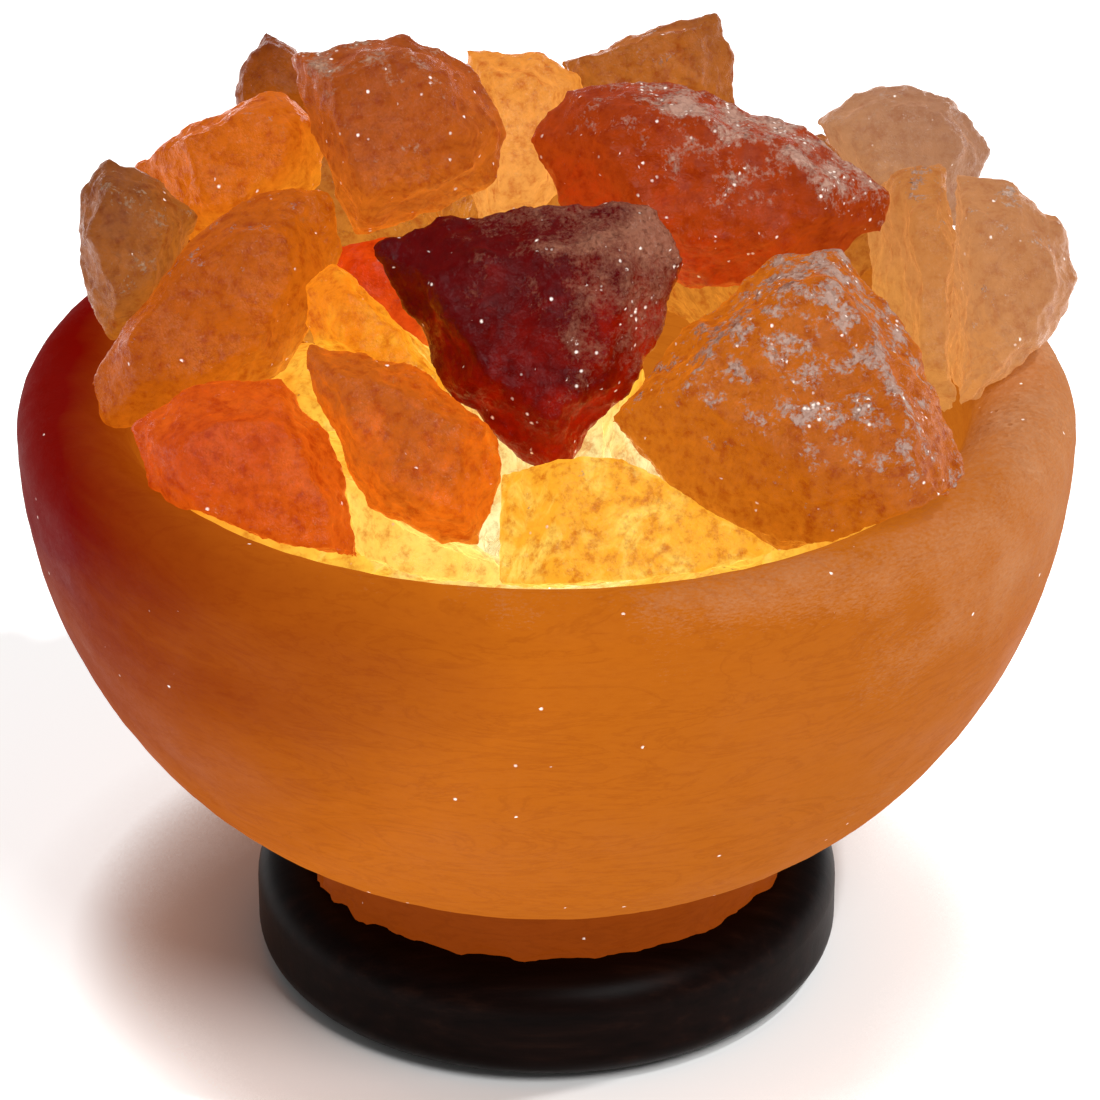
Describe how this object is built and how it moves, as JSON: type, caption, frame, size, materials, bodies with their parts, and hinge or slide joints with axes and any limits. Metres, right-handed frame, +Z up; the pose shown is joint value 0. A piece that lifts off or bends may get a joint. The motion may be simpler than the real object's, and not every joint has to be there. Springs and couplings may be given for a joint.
{
  "type": "salt crystal lamp",
  "caption": "Turned salt bowl on a round dark wooden base, heaped with broken salt chunks over a small bulb whose holder plugs in from below.",
  "frame": {"origin": "centre of the flat that the lamp rests on, under the bowl's axis", "axes": "+Z up along the bowl's turned axis; the cord bush is at +Y, so the side seen in use faces -Y"},
  "size_m": [0.18, 0.18, 0.1664],
  "materials": {
    "stained_hardwood": "dark stained and waxed, turned",
    "grey_felt": "pressed felt",
    "zinced_steel": "zinc plated",
    "black_rubber": "moulded",
    "turned_salt": "turned, satin, lit from inside",
    "black_phenolic": "moulded",
    "brass": "pressed",
    "white_ceramic": "unglazed",
    "spring_steel": "blued spring strip",
    "solder": "soldered",
    "black_glass": "opaque",
    "clear_glass": "blown, clear",
    "nickel_wire": "drawn",
    "hot_filament": "glowing",
    "dark_salt": "broken, iron rich, half clear",
    "red_salt": "broken, half clear",
    "amber_salt": "broken, half clear, frosted",
    "peach_salt": "broken, frosted",
    "glowing_salt": "broken, lit close to the bulb"
  },
  "bodies": {
    "lamp": {"wood_base": "stained_hardwood", "felt_pads": "grey_felt", "base_screws": "zinced_steel", "cord_bush": "black_rubber", "salt_bowl": "turned_salt", "chunk_left_peak": "red_salt", "chunk_left_back": "amber_salt", "chunk_left_slab": "amber_salt", "chunk_front_left": "red_salt", "chunk_ember": "red_salt", "chunk_big_right": "amber_salt", "chunk_right_crest": "red_salt", "chunk_gap": "peach_salt", "chunk_right_inner": "amber_salt", "chunk_red_gap": "red_salt", "chunk_rear_left": "peach_salt", "chunk_rear_centre": "peach_salt", "chunk_rear_right": "peach_salt", "chunk_hot_ridge": "glowing_salt", "chunk_glow": "glowing_salt", "chunk_front": "glowing_salt", "bed_chunk_1": "glowing_salt", "bed_chunk_2": "glowing_salt", "bed_chunk_3": "glowing_salt", "bed_chunk_4": "glowing_salt", "bed_chunk_5": "glowing_salt", "bed_chunk_6": "glowing_salt", "bed_chunk_7": "glowing_salt"},
    "holder": {"holder_plate": "zinced_steel", "holder_cap": "black_phenolic", "holder_body": "black_phenolic", "holder_shell": "brass", "holder_insert": "white_ceramic", "contact_tongue": "brass", "terminal_screws": "zinced_steel", "spring_clip_left": "spring_steel", "spring_clip_right": "spring_steel"},
    "bulb_lift": {"bulb_contact": "solder"},
    "bulb": {"bulb_insulator": "black_glass", "bulb_cap": "brass", "bulb_glass": "clear_glass", "bulb_stem": "clear_glass", "bulb_wires": "nickel_wire", "bulb_filament": "hot_filament"},
    "centre_stone": {"chunk_centre": "dark_salt"},
    "crown_stone": {"chunk_crown": "amber_salt"},
    "left_edge_stone": {"chunk_left_edge": "peach_salt"},
    "back_peak_stone": {"chunk_back_peak": "red_salt"},
    "right_back_stone": {"chunk_right_back": "peach_salt"},
    "right_edge_stone": {"chunk_right_edge": "peach_salt"}
  },
  "joints": [
    {"name": "holder_pull", "type": "slide", "parent": "lamp", "child": "holder", "axis": [0, 0, -1], "range_m": [0, 0.1]},
    {"name": "bulb_rise", "type": "slide", "parent": "holder", "child": "bulb_lift", "axis": [0, 0, 1], "range_m": [0, 0.00987]},
    {"name": "bulb_turn", "type": "hinge", "parent": "bulb_lift", "child": "bulb", "pos_m": [0, 0, 0.06], "axis": [0, 0, 1], "range_deg": [0, 1260]},
    {"name": "centre_lift", "type": "slide", "parent": "lamp", "child": "centre_stone", "axis": [0, 0, 1], "range_m": [0, 0.06]},
    {"name": "crown_lift", "type": "slide", "parent": "lamp", "child": "crown_stone", "axis": [0, 0, 1], "range_m": [0, 0.06]},
    {"name": "left_edge_lift", "type": "slide", "parent": "lamp", "child": "left_edge_stone", "axis": [0, 0, 1], "range_m": [0, 0.06]},
    {"name": "back_peak_lift", "type": "slide", "parent": "lamp", "child": "back_peak_stone", "axis": [0, 0, 1], "range_m": [0, 0.06]},
    {"name": "right_back_lift", "type": "slide", "parent": "lamp", "child": "right_back_stone", "axis": [0, 0, 1], "range_m": [0, 0.06]},
    {"name": "right_edge_lift", "type": "slide", "parent": "lamp", "child": "right_edge_stone", "axis": [0, 0, 1], "range_m": [0, 0.06]}
  ],
  "couplings": [
    {"joint": "bulb_turn", "follows": "bulb_rise", "rad_per_m": 2228.1}
  ]
}
